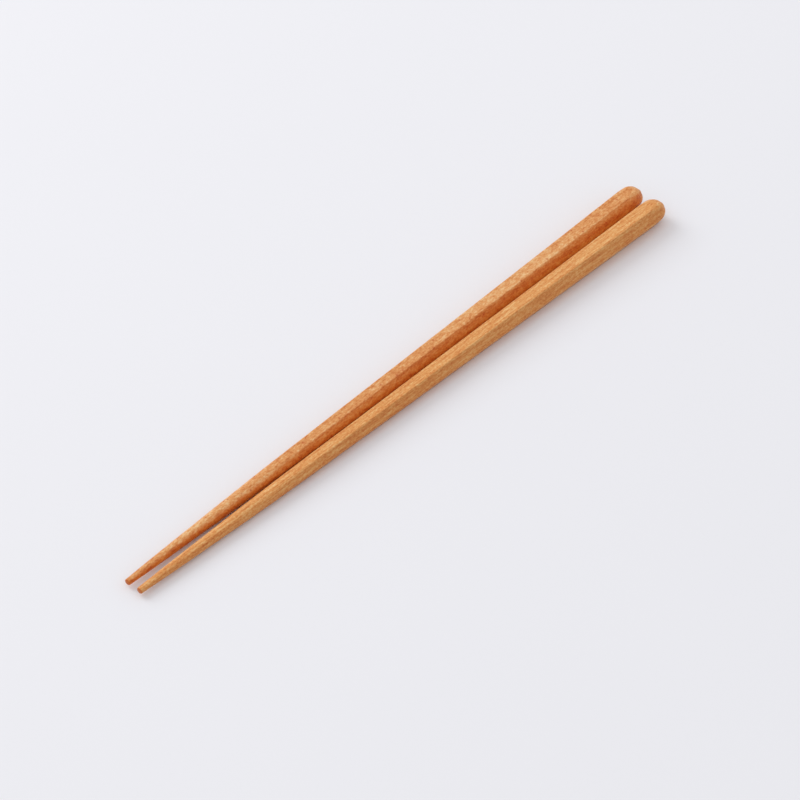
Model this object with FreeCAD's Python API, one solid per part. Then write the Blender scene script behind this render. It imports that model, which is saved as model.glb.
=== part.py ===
import FreeCAD, Part
import math
import os

# A pair of wooden chopsticks lying side by side on a table.
# Each one is a single piece of wood. It was planed to a hexagon that tapers from the head
# to the eating end, its ridges were eased, its eating end was turned round, and its head
# was rounded to a dome, before which the ridges run out. Both lie on a flat, with their
# side ridges almost touching.
# Millimetres. +X runs along the pair from the tips to the heads, and +Z is up.
# The origin is on the table, under the middle of the pair.

# Driving dimensions of one chopstick
stick_length = 230.0        # tip to head
head_flats = 7.94           # across the flats, carried on to the end of the head
tip_flats = 3.96            # across the flats, carried on to the tip
ridge_radius = 0.30         # easing of the six ridges
tip_diameter = 2.18         # turned eating end, at its tip
tip_edge_radius = 0.35      # easing of the tip's rim
turned_length = 70.5        # from the tip to where the turned cone clears the ridges
dome_length = 4.90          # how far the head is rounded over
ridge_runout = 4.00         # the ridges are worn down over this length before the dome
ridge_left = 0.10           # how far they still stand above the flats where the dome begins

# How the two lie together
head_gap = 0.35             # between their side ridges, at the heads
tip_opening = 0.20          # how much wider that gap would be, carried on to the tips

sides = 6
flat_turn = 360.0 / sides
corner_ratio = 1.0 / math.cos(math.radians(flat_turn / 2))
flats_slope = (head_flats - tip_flats) / 2 / stick_length
overrun = head_flats        # how far the planed bar reaches past both ends before they are cut
slab_width = 3 * head_flats

axis_start = FreeCAD.Vector(0, 0, 0)
x_axis = FreeCAD.Vector(1, 0, 0)
y_axis = FreeCAD.Vector(0, 1, 0)
z_axis = FreeCAD.Vector(0, 0, 1)


def at(x, z):
    # A point of an outline: its distance from the tip, and its height above the axis.
    return FreeCAD.Vector(x, 0, z)


def half_flats(x):
    # From the axis to a flat, at a distance x from the tip.
    return tip_flats / 2 + flats_slope * x


def sharp_ridge(x):
    # From the axis to a ridge before it is eased, at a distance x from the tip.
    return half_flats(x) * corner_ratio


def planed_bar():
    # Three tapered slabs, turned a sixth of a turn apart, leave the hexagon that they share.
    start = -overrun
    end = stick_length + overrun
    side_view = Part.makePolygon([
        at(start, -half_flats(start)),
        at(end, -half_flats(end)),
        at(end, half_flats(end)),
        at(start, half_flats(start)),
        at(start, -half_flats(start)),
    ])
    slab = Part.Face(side_view).extrude(y_axis * slab_width)
    slab.translate(y_axis * (-slab_width / 2))
    bar = slab
    for turn in range(1, sides // 2):
        turned_slab = slab.copy()
        turned_slab.rotate(axis_start, x_axis, turn * flat_turn)
        bar = bar.common(turned_slab)
    ridges = [edge for edge in bar.Edges if edge.BoundBox.XLength > stick_length]
    return bar.makeFillet(ridge_radius, ridges)


def tip_outline():
    # The end face and its eased rim.
    centre = at(tip_edge_radius, tip_diameter / 2 - tip_edge_radius)
    rim_start = centre - x_axis * tip_edge_radius
    rim_end = centre + z_axis * tip_edge_radius
    rim_middle = centre + (z_axis - x_axis) * (tip_edge_radius * math.sqrt(0.5))
    return [Part.makeLine(axis_start, rim_start), Part.Arc(rim_start, rim_middle, rim_end).toShape()]


def dome_outline(rim, top):
    # A quarter of an ellipse, from the end of the ridges to the top of the head.
    centre = at(rim.x, top.z)
    if dome_length > rim.z:
        ellipse = Part.Ellipse(top, rim, centre)
    else:
        ellipse = Part.Ellipse(rim, top, centre)
    return Part.ArcOfEllipse(ellipse, 0, math.pi / 2).toShape()


def turned_envelope():
    # What turning leaves: the round eating end, a stretch clear of the ridges, and the dome.
    cone_start = at(tip_edge_radius, tip_diameter / 2)
    cone_end = at(turned_length, sharp_ridge(turned_length))
    dome_start = stick_length - dome_length
    runout_start = at(dome_start - ridge_runout, sharp_ridge(dome_start - ridge_runout))
    dome_rim = at(dome_start, half_flats(dome_start) + ridge_left)
    head_top = at(stick_length, 0)
    outline = tip_outline() + [
        Part.makeLine(cone_start, cone_end),
        Part.makeLine(cone_end, runout_start),
        Part.makeLine(runout_start, dome_rim),
        dome_outline(dome_rim, head_top),
        Part.makeLine(head_top, axis_start),
    ]
    half_view = Part.Face(Part.Wire(outline))
    return half_view.revolve(axis_start, x_axis, 360)


def chopstick():
    # One chopstick along +X, with its tip at the origin and a flat facing down.
    return planed_bar().common(turned_envelope())


def lay_down(stick, side):
    # side is 1 for the left one, at +Y, and -1 for the right one, at -Y.
    # A tilt brings the lowest flat down level, and a turn brings the side ridges together.
    tilt = math.atan(flats_slope)
    ridge_loss = ridge_radius * (corner_ratio - 1)
    tip_distance = sharp_ridge(0) - ridge_loss + (head_gap + tip_opening) / 2
    head_distance = sharp_ridge(stick_length) - ridge_loss + head_gap / 2
    turn = math.atan((head_distance - tip_distance) / stick_length)
    laid = stick.copy()
    laid.rotate(axis_start, y_axis, -math.degrees(tilt))
    laid.rotate(axis_start, z_axis, side * math.degrees(turn))
    height = half_flats(0) * math.cos(tilt)
    laid.translate(FreeCAD.Vector(-stick_length / 2, side * tip_distance, height))
    return laid


def main():
    os.makedirs("parts", exist_ok=True)
    stick = chopstick()
    for name, side in (("left_chopstick", 1), ("right_chopstick", -1)):
        laid = lay_down(stick, side)
        laid.exportStep(f"parts/{name}.step")
        print(name, len(laid.Solids), "solid,", len(laid.Faces), "faces,", round(laid.Volume), "mm3")


main()
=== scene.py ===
import math
import bpy
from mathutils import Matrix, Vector


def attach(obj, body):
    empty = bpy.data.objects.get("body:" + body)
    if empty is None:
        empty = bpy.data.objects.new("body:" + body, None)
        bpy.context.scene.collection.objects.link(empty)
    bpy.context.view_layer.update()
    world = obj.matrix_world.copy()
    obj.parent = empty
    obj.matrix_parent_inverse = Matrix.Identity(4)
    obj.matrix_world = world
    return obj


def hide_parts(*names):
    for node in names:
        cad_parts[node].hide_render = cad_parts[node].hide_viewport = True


# A pair of oiled wooden chopsticks on a pale table, seen from above and a little to the side.
# The construction comes from the frame. Here each stick is modelled again with fine rings,
# facets that carry on over the head, and the small unevenness that hand finishing leaves.

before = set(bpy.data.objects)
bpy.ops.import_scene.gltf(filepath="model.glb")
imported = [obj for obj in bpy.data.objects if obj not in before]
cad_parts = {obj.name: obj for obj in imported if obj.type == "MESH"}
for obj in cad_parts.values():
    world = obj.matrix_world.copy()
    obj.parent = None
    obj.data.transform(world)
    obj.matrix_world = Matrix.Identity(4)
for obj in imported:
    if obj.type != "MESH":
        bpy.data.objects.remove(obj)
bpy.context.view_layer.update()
print("frame loaded:", sorted(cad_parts))

mm = 0.001
sides = 6
cornerRatio = 1 / math.cos(math.pi / sides)

# sizes of one stick in millimetres, as the construction has them but for the head, the gap and
# the wear, which follow the photo a few tenths more closely
stickForm = dict(
    length=230.0,
    headFlats=7.94,       # across the flats, carried on to the end of the head
    tipFlats=3.96,        # across the flats, carried on to the tip
    ridgeRadius=0.30,
    ridgeSegments=3,
    tipDiameter=2.18,
    tipRim=0.35,          # easing of the tip's rim
    tipSteps=4,
    turnedLength=70.5,    # the turned cone clears the ridges here
    # distance from the tip, and how far the wood stands above the straight cone
    turnedSwell=((6.0, 0.05), (14.0, 0.07), (23.0, 0.06), (33.0, 0.02), (42.0, -0.01)),
    # distance from the tip, and how much the sharp ridges have lost
    ridgeWear=((70.5, 0.12), (85.0, 0.10), (103.0, 0.05), (125.0, 0.0)),
    domeLength=5.15,
    domeSteps=16,
    ridgeRunout=3.80,     # the ridges are worn down over this length before the dome
    ridgeLeft=0.19,       # how far they still stand above the flats where the dome begins
    runoutSteps=6,
    headGap=0.34,         # between the side ridges at the heads
    tipOpening=0.10,      # how much wider that gap would be at the tips
    segments=144,         # round the stick, with one on each ridge
    ringSpacing=0.5,
    samePlace=0.01,       # closer than this along the stick counts as one station
    drawInLimit=1.0,      # more than the turned shape ever stands proud of the planed one
)
flatsSlope = (stickForm["headFlats"] - stickForm["tipFlats"]) / 2 / stickForm["length"]


def deselectAll():
    if bpy.context.object and bpy.context.object.mode != "OBJECT":
        bpy.ops.object.mode_set(mode="OBJECT")
    bpy.ops.object.select_all(action="DESELECT")


def applyModifier(piece, kind, **settings):
    deselectAll()
    piece.select_set(True)
    bpy.context.view_layer.objects.active = piece
    modifier = piece.modifiers.new(kind.lower(), kind)
    for key, value in settings.items():
        setattr(modifier, key, value)
    bpy.ops.object.modifier_apply(modifier=modifier.name)


def halfFlats(x):
    return stickForm["tipFlats"] / 2 + flatsSlope * x


def sharpRidge(x):
    return halfFlats(x) * cornerRatio


def domeStations(form, rim):
    # distance from the tip and radius over the head, along a quarter of an ellipse
    domeStart = form["length"] - form["domeLength"]
    angles = [math.pi / 2 * step / form["domeSteps"] for step in range(form["domeSteps"])]
    return [(domeStart + form["domeLength"] * math.sin(angle), rim * math.cos(angle))
            for angle in angles]


def pullOut(stations, top):
    # the selected end face goes from station to station, and closes to a point at the top
    for (x, radius), (nextX, nextRadius) in zip(stations, stations[1:]):
        bpy.ops.mesh.extrude_region_move(TRANSFORM_OT_translate={"value": (nextX - x, 0, 0)})
        grow = nextRadius / radius
        bpy.ops.transform.resize(value=(1, grow, grow), center_override=(nextX, 0, 0))
    lastStep = (top - stations[-1][0], 0, 0)
    bpy.ops.mesh.extrude_region_move(TRANSFORM_OT_translate={"value": lastStep})
    bpy.ops.mesh.merge(type="CENTER")
    bpy.ops.mesh.select_all(action="SELECT")
    bpy.ops.mesh.normals_make_consistent(inside=False)
    bpy.ops.object.mode_set(mode="OBJECT")


def turnedStations(form):
    # distance from the tip and radius of the turned outline, in order
    stations = []
    for step in range(form["tipSteps"] + 1):
        angle = math.pi / 2 * step / form["tipSteps"]
        x = form["tipRim"] * (1 - math.cos(angle))
        stations.append((x, form["tipDiameter"] / 2 - form["tipRim"] * (1 - math.sin(angle))))
    coneStart, coneRadius = stations[-1]
    coneSlope = (sharpRidge(form["turnedLength"]) - coneRadius) / (form["turnedLength"] - coneStart)
    for x, swell in form["turnedSwell"]:
        stations.append((x, coneRadius + coneSlope * (x - coneStart) + swell))
    for x, wear in form["ridgeWear"]:
        stations.append((x, sharpRidge(x) - wear))
    domeStart = form["length"] - form["domeLength"]
    rim = halfFlats(domeStart) + form["ridgeLeft"]
    for step in range(form["runoutSteps"]):
        share = step / form["runoutSteps"]
        x = domeStart - form["ridgeRunout"] * (1 - share)
        eased = share * share * (3 - 2 * share)
        stations.append((x, sharpRidge(x) + (rim - sharpRidge(x)) * eased))
    return stations + domeStations(form, rim)


def planedBlank(form):
    # a six-sided bar along X, tapered by scaling its tip end, with bevelled ridges and each
    # of its flats carried on over the head
    start, end = -form["headFlats"], form["length"] - form["domeLength"]
    bpy.ops.mesh.primitive_cylinder_add(
        vertices=sides, radius=sharpRidge(end), depth=end - start,
        location=((start + end) / 2, 0, 0), rotation=(0, math.pi / 2, 0))
    blank = bpy.context.object
    bpy.ops.object.transform_apply(location=True, rotation=True, scale=True)
    bpy.ops.object.mode_set(mode="EDIT")
    bpy.ops.mesh.select_all(action="DESELECT")
    bpy.ops.object.mode_set(mode="OBJECT")
    for vertex in blank.data.vertices:
        vertex.select = vertex.co.x < 0        # the end at the tip
    bpy.ops.object.mode_set(mode="EDIT")
    shrink = sharpRidge(start) / sharpRidge(end)
    bpy.ops.transform.resize(value=(1, shrink, shrink), center_override=(start, 0, 0))
    bpy.ops.mesh.select_all(action="DESELECT")
    bpy.ops.object.mode_set(mode="OBJECT")
    for edge in blank.data.edges:
        ends = [blank.data.vertices[index].co.x for index in edge.vertices]
        edge.select = abs(ends[0] - ends[1]) > end      # the six ridges
    bpy.ops.object.mode_set(mode="EDIT")
    bpy.ops.mesh.select_mode(type="EDGE")
    bpy.ops.mesh.bevel(
        offset=form["ridgeRadius"] * math.tan(math.pi / sides),
        segments=form["ridgeSegments"], affect="EDGES")
    bpy.ops.mesh.select_mode(type="FACE")
    bpy.ops.mesh.select_all(action="DESELECT")
    bpy.ops.object.mode_set(mode="OBJECT")
    for face in blank.data.polygons:
        face.select = face.normal.x > 0.9      # the end face at the head
    bpy.ops.object.mode_set(mode="EDIT")
    pullOut(domeStations(form, halfFlats(end)), form["length"])
    return blank


def turnedEnvelope(form):
    # a disc pulled out station by station, as on a lathe, and then divided into rings
    stations = turnedStations(form)
    bpy.ops.mesh.primitive_circle_add(
        vertices=form["segments"], radius=stations[0][1], fill_type="TRIFAN",
        location=(stations[0][0], 0, 0), rotation=(0, math.pi / 2, 0))
    bpy.ops.object.transform_apply(location=True, rotation=True, scale=True)
    envelope = bpy.context.object
    bpy.ops.object.mode_set(mode="EDIT")
    bpy.ops.mesh.select_mode(type="FACE")
    bpy.ops.mesh.select_all(action="SELECT")
    pullOut(stations, form["length"])
    for (x, _), (nextX, _) in zip(stations, stations[1:]):
        cuts = round((nextX - x) / form["ringSpacing"]) - 1
        if cuts < 1:
            continue
        bpy.ops.object.mode_set(mode="EDIT")
        bpy.ops.mesh.select_mode(type="EDGE")
        bpy.ops.mesh.select_all(action="DESELECT")
        bpy.ops.object.mode_set(mode="OBJECT")
        for edge in envelope.data.edges:
            ends = sorted(envelope.data.vertices[index].co.x for index in edge.vertices)
            edge.select = (abs(ends[0] - x) < form["samePlace"]
                           and abs(ends[1] - nextX) < form["samePlace"])
        bpy.ops.object.mode_set(mode="EDIT")
        bpy.ops.mesh.subdivide(number_cuts=cuts)
        bpy.ops.object.mode_set(mode="OBJECT")
    return envelope


# what hand finishing and the wood itself do to each stick, in millimetres
handFinish = dict(
    waveDepth=0.10,       # slow unevenness of the flats
    waveSize=14.0,
    nickDepth=0.04,       # short unevenness, seen along the ridges
    nickSize=2.6,
    cutDeeper=0.4,        # share of both depths that is taken off all over
    bow=0.26,             # how far the middle has warped towards -Y
    headLean=0.27,        # how far the top of the head sits towards -Y
)


def handFinished(stick, finish):
    for label, depth, size in (("wave", finish["waveDepth"], finish["waveSize"]),
                               ("nick", finish["nickDepth"], finish["nickSize"])):
        unevenness = bpy.data.textures.new(stick.name + label, "CLOUDS")
        unevenness.noise_scale = size
        applyModifier(stick, "DISPLACE", texture=unevenness, texture_coords="GLOBAL",
                      strength=depth, mid_level=0.5 + finish["cutDeeper"])


# where the marks on a stick's surface start, and over how much they rise to 1
markLimits = dict(
    ridgeStart=1.125,     # distance from the axis, as a share of half the flats
    ridgeRise=0.012,
    endStart=0.25,        # how much the surface faces along the stick
    endRise=0.6,
    headRubbed=0.7,       # share of the head's end grain that rubbing has closed
    # painted shade on the steep side at -Y, away from the window light
    flankStart=0.97,      # how much the surface faces upwards
    flankRise=0.4,
    flankReach=0.6,       # how far the painted shade reaches round from the side at -Y
)


def within(level):
    return min(1, max(0, level))


def markSurface(stick, flankFade):
    # ridge is 1 along the six ridges, where a painted highlight goes. endGrain is 1 where the
    # fibres are cut across at the tip, and lower at the head, which is rubbed closed. flank
    # is 1 on the steep side at -Y, away from the window light and, on the left stick, towards the
    # other stick: it carries painted shade, lighter towards the top by flankFade. It fades out over
    # the head
    labels = ("ridge", "endGrain", "flank")
    for label in labels:
        stick.data.attributes.new(label, "FLOAT", "POINT")
    marks = [stick.data.attributes[label] for label in labels]
    limits = markLimits
    for index, vertex in enumerate(stick.data.vertices):
        reach = math.hypot(vertex.co.y, vertex.co.z) / halfFlats(vertex.co.x)
        height = within(vertex.co.z / halfFlats(vertex.co.x))
        cutAcross = within((abs(vertex.normal.x) - limits["endStart"]) / limits["endRise"])
        headEnd = cutAcross if vertex.normal.x > 0 else 0
        steepness = within((limits["flankStart"] - vertex.normal.z) / limits["flankRise"])
        steepness *= within(limits["flankReach"] - vertex.normal.y)
        levels = ((reach - limits["ridgeStart"]) / limits["ridgeRise"],
                  cutAcross - limits["headRubbed"] * headEnd,
                  steepness * (1 - flankFade * height) * (1 - headEnd) ** 2)
        for mark, level in zip(marks, levels):
            mark.data[index].value = within(level)


def carvedStick(name, form, look):
    # the turned shape, drawn in to the planed one wherever the flats lie deeper
    deselectAll()
    blank = planedBlank(form)
    deselectAll()
    stick = turnedEnvelope(form)
    stick.name = name
    stick.data.name = name
    applyModifier(stick, "SHRINKWRAP", target=blank, wrap_method="PROJECT",
                  project_limit=form["drawInLimit"],
                  use_positive_direction=False, use_negative_direction=True)
    bpy.data.objects.remove(blank)
    stick.location.x = look["finishPlace"]
    handFinished(stick, handFinish)
    stick.location.x = 0
    markSurface(stick, look["flankFade"])
    domeStart = form["length"] - form["domeLength"]
    for vertex in stick.data.vertices:
        share = 2 * vertex.co.x / form["length"] - 1
        overHead = max(0, vertex.co.x - domeStart) / form["domeLength"]
        sideways = handFinish["bow"] * (1 - share ** 2) + handFinish["headLean"] * overHead ** 2
        vertex.co.y -= sideways
    return stick


def layDown(stick, side):
    # side is 1 for the left stick and -1 for the right one
    form = stickForm
    tilt = math.atan(flatsSlope)
    ridgeLoss = form["ridgeRadius"] * (cornerRatio - 1)
    tipDistance = sharpRidge(0) - ridgeLoss + (form["headGap"] + form["tipOpening"]) / 2
    headDistance = sharpRidge(form["length"]) - ridgeLoss + form["headGap"] / 2
    turn = math.atan((headDistance - tipDistance) / form["length"])
    deselectAll()
    stick.select_set(True)
    bpy.context.view_layer.objects.active = stick
    stick.scale = (mm, mm, mm)
    stick.rotation_euler = (0, -tilt, side * turn)
    stick.location = Vector((-form["length"] / 2, side * tipDistance, halfFlats(0))) * mm
    bpy.ops.object.transform_apply(location=True, rotation=True, scale=True)
    bpy.ops.object.shade_smooth()
    return side * turn


def linear(hexColour):
    # sRGB hex to the linear colour that sockets take
    values = [int(hexColour[i:i + 2], 16) / 255 for i in (1, 3, 5)]
    lit = [v / 12.92 if v <= 0.04045 else ((v + 0.055) / 1.055) ** 2.4 for v in values]
    return (*lit, 1.0)


def addNode(tree, kind, settings=None, **inputs):
    # a node with its settings, and a value or link on each input that is named or numbered
    node = tree.nodes.new(kind)
    for key, value in (settings or {}).items():
        if key == "stops":
            ramp = node.color_ramp
            for index, (position, hexColour) in enumerate(value):
                stop = ramp.elements[index] if index < 2 else ramp.elements.new(position)
                stop.position, stop.color = position, linear(hexColour)
        else:
            setattr(node, key, value)
    for key, value in inputs.items():
        socket = node.inputs[int(key[2:]) if key[:2] == "in" else key.replace("_", " ")]
        if isinstance(value, bpy.types.NodeSocket):
            tree.links.new(value, socket)
        else:
            socket.default_value = value
    return node


# Cherry with an oiled, hand-rubbed finish. It is a fine, even wood: the eye gets a warm orange
# brown that shifts softly, thin darker lines where the rings are cut, short reddish pores and
# resin dots, and a low sheen that breaks up along the fibres. All sizes are in millimetres.
# Real fibres and pores are under 0.1 mm wide, so they are drawn a few times coarser to show.
mottledLook = dict(
    darkTone="#c67337",
    middleTone="#de9a5c",
    lightTone="#ecc08a",
    poreTone="#c25c24",
    fleckTone="#b6481a",
    # painted highlight along the ridges, with some lighter edge wear
    ridgeTone="#f4c68c",
    endTone="#b8581c",
    flankTone="#efb860",  # painted shade and orange bounce light, on the steep side at -Y
    flankFade=0.5,        # share of the painted shade lost towards the top of the stick
    ringTurn=8.0,         # degrees from the vertical to where the rings face
    ringSpacing=2.6,
    ringShare=0.15,       # how much each layer moves the tone
    fibreWidth=0.7,
    fibreLength=6.0,
    fibreShare=0.25,
    mottleWidth=1.2,
    mottleLength=2.3,
    mottleShare=0.75,
    speckleWidth=0.45,
    speckleLength=0.90,
    speckleShare=0.85,
    driftWidth=7.2,
    driftLength=36.0,
    driftShare=0.20,
    poreWidth=0.6,
    poreLength=1.2,
    poreLimit=0.66,       # noise above this is a pore
    poreStrength=0.35,
    fleckSpacing=3.2,
    fleckRadius=0.15,     # as a share of the spacing
    fleckStrength=0.65,
    place=(0.0, 3.0, 7.0),        # where in the tree this stick is cut from
    finishPlace=400.0,            # where in the clouds its unevenness lies
)
straightLook = dict(
    darkTone="#c87537",
    middleTone="#df9a57",
    lightTone="#edbf82",
    poreTone="#c66428",
    fleckTone="#b6481a",
    # painted highlight along the ridges, with some lighter edge wear
    ridgeTone="#f6cb8e",
    endTone="#b8581c",
    # painted shade on the steep side at -Y, away from the window light
    flankTone="#e6dac9",
    flankFade=0.0,
    ringTurn=62.0,
    ringSpacing=1.5,
    ringShare=0.12,
    fibreWidth=0.42,
    fibreLength=7.0,
    fibreShare=0.75,
    mottleWidth=2.4,
    mottleLength=7.0,
    mottleShare=0.25,
    speckleWidth=0.42,
    speckleLength=0.9,
    speckleShare=0.80,
    driftWidth=8.4,
    driftLength=42.0,
    driftShare=0.15,
    poreWidth=0.5,
    poreLength=3.0,
    poreLimit=0.64,
    poreStrength=0.45,
    fleckSpacing=6.0,
    fleckRadius=0.09,
    fleckStrength=0.40,
    place=(60.0, 11.0, 2.0),
    finishPlace=900.0,
)
# what both sticks share
oilFinish = dict(
    noiseRoughness=0.55,
    wavePeriod=0.314,     # of the wave texture at scale 1
    ringStretch=0.05,     # how fast the rings change along the stick, against across it
    ringDistortion=3.0,
    ringDetailScale=0.8,
    toneLow=0.2,          # where the dark, middle and light tones lie among the added layers
    toneMiddle=0.5,
    toneHigh=0.8,
    poreEdge=0.1,
    fleckCore=0.4,        # share of a fleck's radius that is full
    endStrength=0.75,
    ridgeStrength=0.50,
    fibresLow=0.3,        # the fibre noise mostly lies between these two
    fibresHigh=0.7,
    roughnessLow=0.40,
    roughnessHigh=0.56,
    ior=1.47,             # oil-filled wood
    specularLevel=0.3,
    bumpStrength=0.35,
    bumpDepth=0.03,
    poreDepth=0.5,        # against the fibres
)


def oiledCherry(name, look, turn):
    finish = oilFinish
    material = bpy.data.materials.new(name)
    material.use_nodes = True
    tree = material.node_tree
    shader = tree.nodes["Principled BSDF"]
    texture = addNode(tree, "ShaderNodeTexCoord").outputs["Object"]
    along = addNode(tree, "ShaderNodeMapping", Vector=texture, Scale=(1 / mm,) * 3,
                    Rotation=(0, 0, -turn), Location=look["place"]).outputs["Vector"]

    def streaks(length, width, detail=2.0):
        # noise in grains of that length and width
        stretched = addNode(tree, "ShaderNodeMapping", Vector=along,
                            Scale=(1 / length, 1 / width, 1 / width)).outputs["Vector"]
        return addNode(tree, "ShaderNodeTexNoise", Vector=stretched, Scale=1.0,
                       Detail=detail, Roughness=finish["noiseRoughness"]).outputs["Fac"]

    def shifted(tone, layer, share):
        # the tone moved by a layer's distance from its middle
        centred = addNode(tree, "ShaderNodeMath", dict(operation="SUBTRACT"),
                          in0=layer, in1=0.5).outputs[0]
        return addNode(tree, "ShaderNodeMath", dict(operation="MULTIPLY_ADD"),
                       in0=centred, in1=share, in2=tone).outputs[0]

    def tinted(colour, hexColour, amount, strength):
        # the colour mixed towards another where the amount is high
        factor = addNode(tree, "ShaderNodeMath", dict(operation="MULTIPLY"),
                         in0=amount, in1=strength).outputs[0]
        return addNode(tree, "ShaderNodeMix", dict(data_type="RGBA"),
                       in0=factor, in6=colour, in7=linear(hexColour)).outputs[2]

    ringSpace = addNode(tree, "ShaderNodeMapping", Vector=along,
                        Scale=(finish["ringStretch"], 1, 1),
                        Rotation=(math.radians(look["ringTurn"]), 0, 0)).outputs["Vector"]
    rings = addNode(tree, "ShaderNodeTexWave", dict(wave_type="BANDS", bands_direction="Z"),
                    Vector=ringSpace, Scale=finish["wavePeriod"] / look["ringSpacing"],
                    Distortion=finish["ringDistortion"], Detail=2.0,
                    Detail_Scale=finish["ringDetailScale"]).outputs["Fac"]
    fibres = streaks(look["fibreLength"], look["fibreWidth"])
    mottle = streaks(look["mottleLength"], look["mottleWidth"])
    speckle = streaks(look["speckleLength"], look["speckleWidth"], 1.0)
    drift = streaks(look["driftLength"], look["driftWidth"], 1.0)
    tone = shifted(0.5, rings, look["ringShare"])
    tone = shifted(tone, fibres, look["fibreShare"])
    tone = shifted(tone, mottle, look["mottleShare"])
    tone = shifted(tone, speckle, look["speckleShare"])
    tone = shifted(tone, drift, look["driftShare"])
    # the middle comes last, because a ramp starts with two stops
    stops = ((finish["toneLow"], look["darkTone"]), (finish["toneHigh"], look["lightTone"]),
             (finish["toneMiddle"], look["middleTone"]))
    colour = addNode(tree, "ShaderNodeValToRGB", dict(stops=stops), Fac=tone).outputs["Color"]

    poreNoise = streaks(look["poreLength"], look["poreWidth"], 1.0)
    pores = addNode(tree, "ShaderNodeMapRange", Value=poreNoise, From_Min=look["poreLimit"],
                    From_Max=look["poreLimit"] + finish["poreEdge"]).outputs[0]
    colour = tinted(colour, look["poreTone"], pores, look["poreStrength"])
    cells = addNode(tree, "ShaderNodeTexVoronoi", Vector=along, Scale=1 / look["fleckSpacing"])
    flecks = addNode(tree, "ShaderNodeMapRange", Value=cells.outputs["Distance"],
                     From_Min=look["fleckRadius"],
                     From_Max=look["fleckRadius"] * finish["fleckCore"]).outputs[0]
    colour = tinted(colour, look["fleckTone"], flecks, look["fleckStrength"])
    # painted shade: the colour is multiplied darker on the side away from the window light
    onPaintedShade = addNode(tree, "ShaderNodeAttribute", dict(attribute_name="flank")).outputs["Fac"]
    colour = addNode(tree, "ShaderNodeMix", dict(data_type="RGBA", blend_type="MULTIPLY"),
                     in0=onPaintedShade, in6=colour, in7=linear(look["flankTone"])).outputs[2]
    onEnd = addNode(tree, "ShaderNodeAttribute", dict(attribute_name="endGrain")).outputs["Fac"]
    colour = tinted(colour, look["endTone"], onEnd, finish["endStrength"])
    # painted highlight along the ridges, with some lighter edge wear
    onRidgeHighlight = addNode(tree, "ShaderNodeAttribute", dict(attribute_name="ridge")).outputs["Fac"]
    colour = tinted(colour, look["ridgeTone"], onRidgeHighlight, finish["ridgeStrength"])
    tree.links.new(colour, shader.inputs["Base Color"])

    sheen = addNode(tree, "ShaderNodeMapRange", Value=fibres,
                    From_Min=finish["fibresLow"], From_Max=finish["fibresHigh"],
                    To_Min=finish["roughnessLow"], To_Max=finish["roughnessHigh"]).outputs[0]
    tree.links.new(sheen, shader.inputs["Roughness"])
    shader.inputs["IOR"].default_value = finish["ior"]
    shader.inputs["Specular IOR Level"].default_value = finish["specularLevel"]
    grain = shifted(fibres, pores, -finish["poreDepth"])
    bump = addNode(tree, "ShaderNodeBump", Height=grain, Strength=finish["bumpStrength"],
                   Distance=finish["bumpDepth"] * mm).outputs["Normal"]
    tree.links.new(bump, shader.inputs["Normal"])
    return material


for node, side, slot, cut, look in (
        ("left_chopstick", 1, "mottled_wood", "Mottled", mottledLook),
        ("right_chopstick", -1, "straight_grained_wood", "Straight", straightLook)):
    stick = carvedStick("carvedStick" + cut, stickForm, look)
    turn = layDown(stick, side)
    stick.data.materials.append(oiledCherry("oiledCherry" + cut, look, turn))
    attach(stick, "root")
    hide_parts(node)
    print("carved", node, len(stick.data.polygons), "faces")

# table and light
studio = dict(
    tableTone="#eeeef3",
    cloudTone="#ececf1",  # the laminate's faint cloudiness
    cloudScale=5.0,
    tableRoughness=0.9,
    tableSpecular=0.1,
    tableSize=6.0,
    skyTone="#ffffff",
    skyStrength=0.80,     # the room's own light, even all round
    keyPower=13.2,        # the window, beyond the table at +Y
    keySize=1.2,
    keyDistance=1.9,
    keyAzimuth=-8.0,      # degrees from +Y towards +X
    keyElevation=37.0,
)


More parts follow.
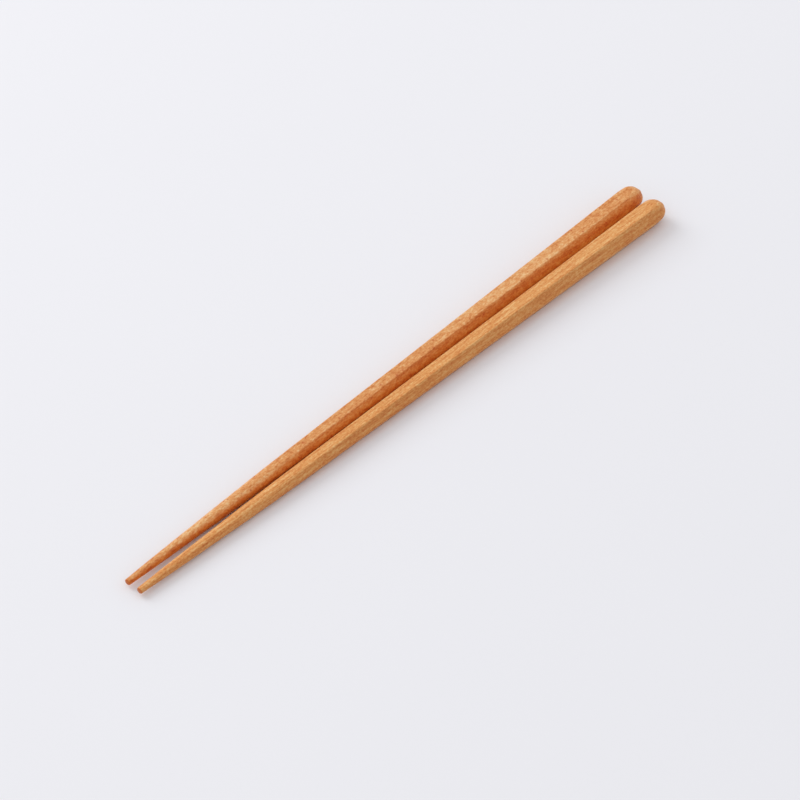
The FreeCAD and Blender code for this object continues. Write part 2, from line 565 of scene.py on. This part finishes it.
def matteLaminate(name, look):
    # a pale tabletop laminate: even, matt, with a faint cloudiness
    material = bpy.data.materials.new(name)
    material.use_nodes = True
    tree = material.node_tree
    shader = tree.nodes["Principled BSDF"]
    texture = addNode(tree, "ShaderNodeTexCoord").outputs["Object"]
    cloud = addNode(tree, "ShaderNodeTexNoise", Vector=texture, Scale=look["cloudScale"],
                    Detail=2.0).outputs["Fac"]
    colour = addNode(tree, "ShaderNodeMix", dict(data_type="RGBA"), in0=cloud,
                     in6=linear(look["tableTone"]), in7=linear(look["cloudTone"])).outputs[2]
    tree.links.new(colour, shader.inputs["Base Color"])
    shader.inputs["Roughness"].default_value = look["tableRoughness"]
    shader.inputs["Specular IOR Level"].default_value = look["tableSpecular"]
    return material


deselectAll()
bpy.ops.mesh.primitive_plane_add(size=studio["tableSize"], location=(0, 0, 0))
table = bpy.context.object
table.name = "table"
table.data.materials.append(matteLaminate("matteLaminate", studio))

world = bpy.data.worlds.new("softRoom")
bpy.context.scene.world = world
world.use_nodes = True
sky = world.node_tree.nodes["Background"]
sky.inputs["Color"].default_value = linear(studio["skyTone"])
sky.inputs["Strength"].default_value = studio["skyStrength"]

azimuth = math.radians(studio["keyAzimuth"])
elevation = math.radians(studio["keyElevation"])
towardsKey = Vector((math.sin(azimuth) * math.cos(elevation),
                     math.cos(azimuth) * math.cos(elevation), math.sin(elevation)))
bpy.ops.object.light_add(type="AREA", location=towardsKey * studio["keyDistance"])
key = bpy.context.object
key.name = "windowLight"
key.rotation_euler = towardsKey.to_track_quat("Z", "Y").to_euler()
key.data.size = studio["keySize"]
key.data.energy = studio["keyPower"]
print("table and light set")

# camera
view = dict(
    azimuth=-47.200,      # degrees, 0 looks along +Y
    elevation=43.622,
    distance=1.2,
    lookAt=(-0.007205, -0.004851, 0.004),
    frameWidth=0.24085,   # metres across the picture at the point looked at
    sensor=36.0,
    farLimit=20.0,
)
around, above = math.radians(view["azimuth"]), math.radians(view["elevation"])
back = Vector((math.sin(around) * math.cos(above), -math.cos(around) * math.cos(above),
               math.sin(above)))
bpy.ops.object.camera_add(location=Vector(view["lookAt"]) + back * view["distance"])
camera = bpy.context.object
camera.rotation_euler = back.to_track_quat("Z", "Y").to_euler()
camera.data.sensor_width = view["sensor"]
camera.data.lens = view["sensor"] * view["distance"] / view["frameWidth"]
camera.data.clip_end = view["farLimit"]
bpy.context.scene.camera = camera
bpy.context.scene.view_settings.view_transform = "Standard"

deselectAll()
